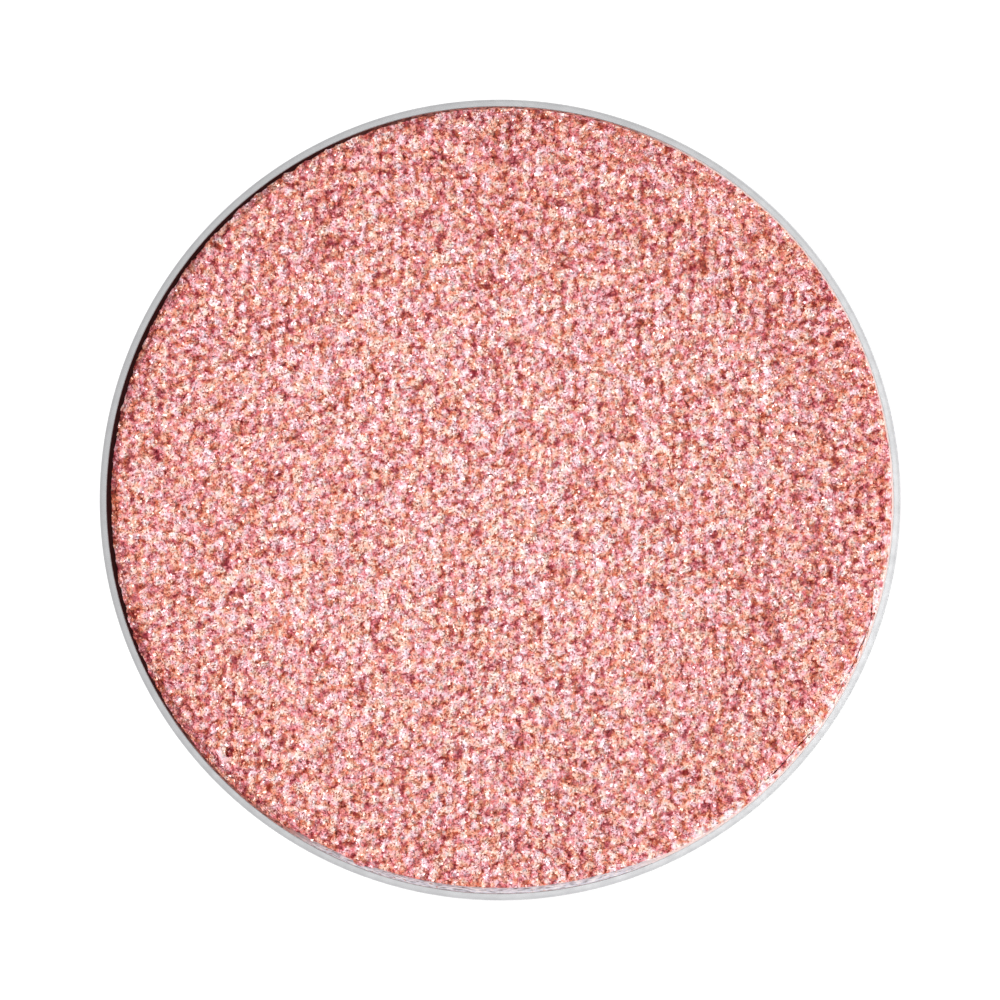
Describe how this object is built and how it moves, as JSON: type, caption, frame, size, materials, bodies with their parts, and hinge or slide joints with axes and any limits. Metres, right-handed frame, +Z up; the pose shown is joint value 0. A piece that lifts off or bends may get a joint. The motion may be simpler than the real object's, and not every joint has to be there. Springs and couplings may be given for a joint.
{
  "type": "eyeshadow refill pan",
  "caption": "Round shallow metal refill pan with a slightly flared lip, filled with pressed pink shimmer powder; it drops into a round well of a palette.",
  "frame": {"origin": "centre of the pan's underside, on the plane the pan rests on", "axes": "+Z up along the pan's axis, out of the open side; +X to the right and +Y away in the straight-down view"},
  "size_m": [0.0264, 0.0264, 0.0035],
  "materials": {
    "tinplate": "satin tin over thin steel sheet",
    "shimmer_powder": "pressed pearl powder with a cloth imprint"
  },
  "bodies": {
    "root": {"pan": "tinplate", "pressed_powder": "shimmer_powder"}
  },
  "joints": []
}
